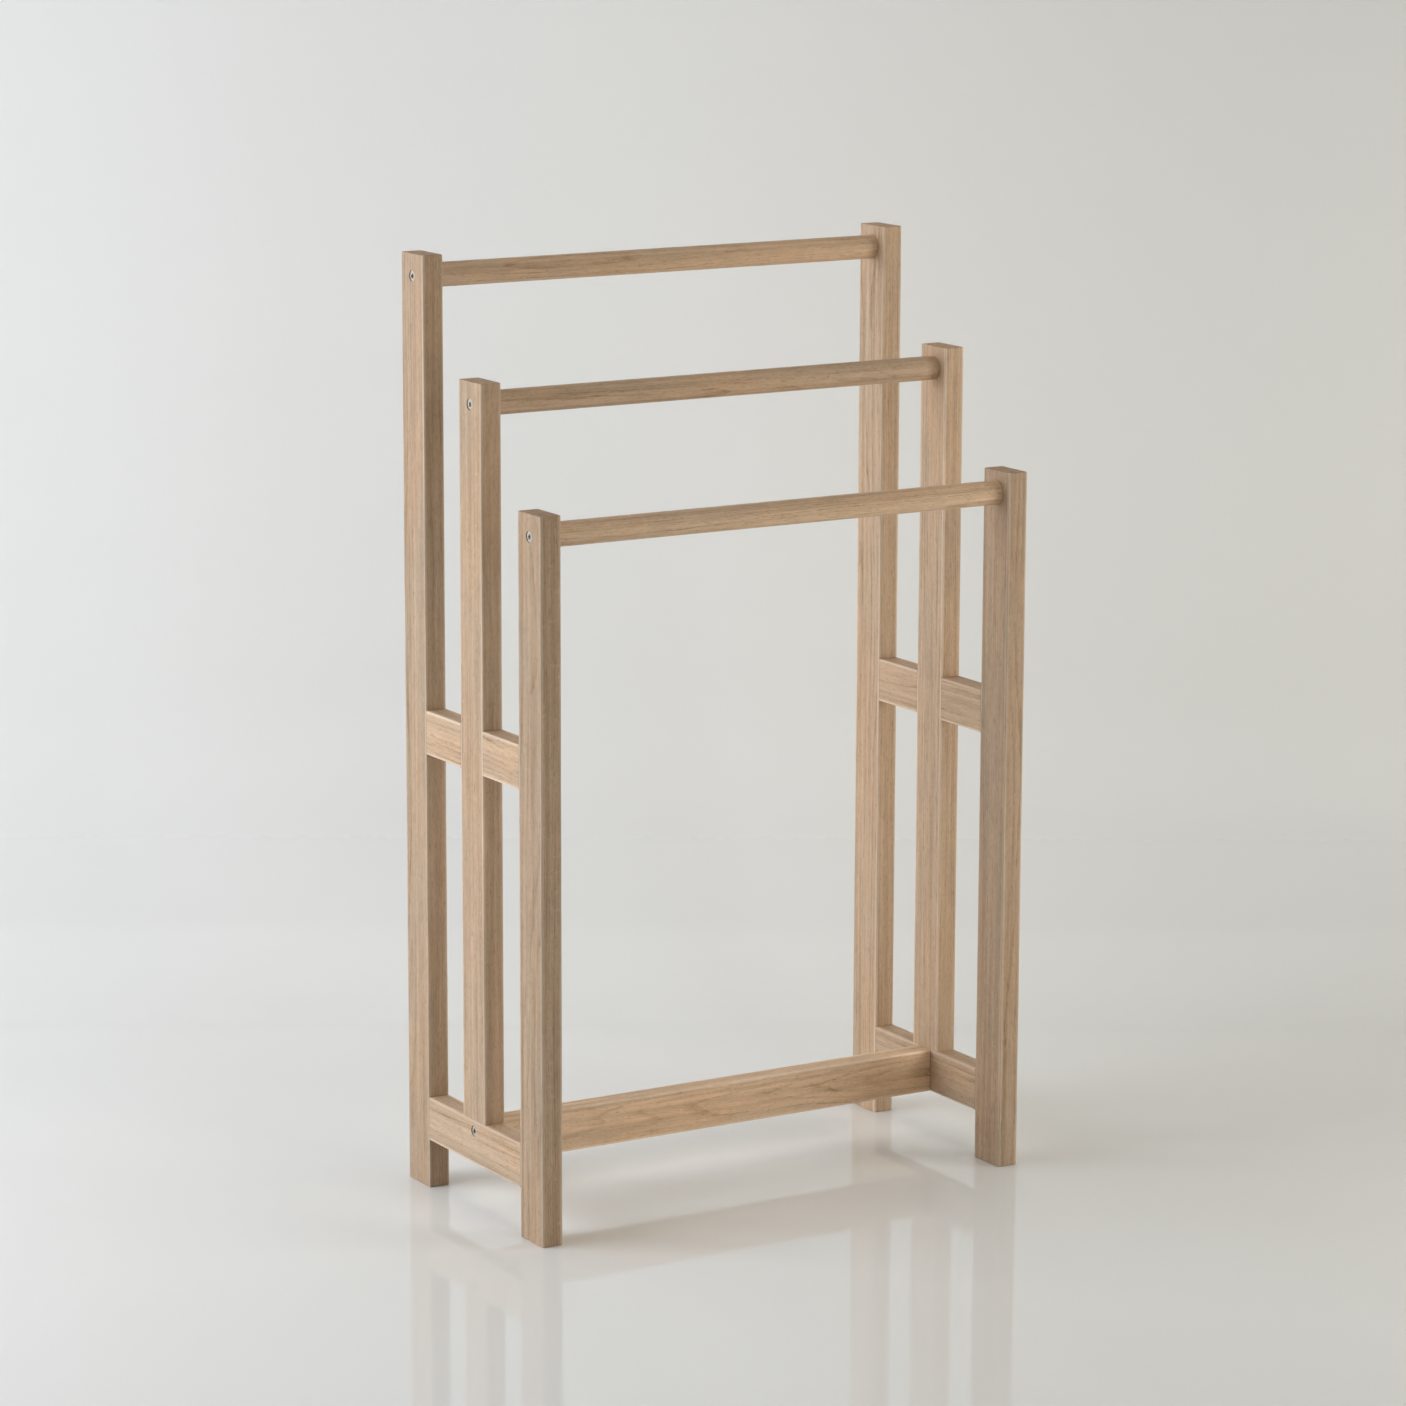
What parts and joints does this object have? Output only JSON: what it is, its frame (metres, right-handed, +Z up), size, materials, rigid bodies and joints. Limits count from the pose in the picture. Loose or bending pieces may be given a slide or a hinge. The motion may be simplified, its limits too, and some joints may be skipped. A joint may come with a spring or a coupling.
{
  "type": "towel rack",
  "caption": "Free-standing oak towel rack: upright side frames joined by a low stretcher and by round rods that step down from back to front.",
  "frame": {"origin": "on the floor, at the middle of the footprint of the four feet", "axes": "+Z up; -Y is the front, where the lowest rod is; +X along the rods, to the right of someone who stands in front"},
  "size_m": [0.502, 0.25, 0.85],
  "materials": {
    "oak": "pale limed oak, matt oil",
    "beech": "unfinished beech dowel",
    "screw_steel": "bright zinc plate"
  },
  "bodies": {
    "root": {"back_rod": "oak", "back_rod_screws": "screw_steel", "front_rod": "oak", "front_rod_screws": "screw_steel", "left_back_mid_rail": "oak", "left_back_upright": "oak", "left_bottom_rail": "oak", "left_bottom_rail_dowels": "beech", "left_front_mid_rail": "oak", "left_front_upright": "oak", "left_mid_rail_dowels": "beech", "left_middle_upright": "oak", "left_middle_upright_dowels": "beech", "middle_rod": "oak", "middle_rod_screws": "screw_steel", "right_back_mid_rail": "oak", "right_back_upright": "oak", "right_bottom_rail": "oak", "right_bottom_rail_dowels": "beech", "right_front_mid_rail": "oak", "right_front_upright": "oak", "right_mid_rail_dowels": "beech", "right_middle_upright": "oak", "right_middle_upright_dowels": "beech", "stretcher": "oak", "stretcher_dowels": "beech", "stretcher_screws": "screw_steel"}
  },
  "joints": []
}
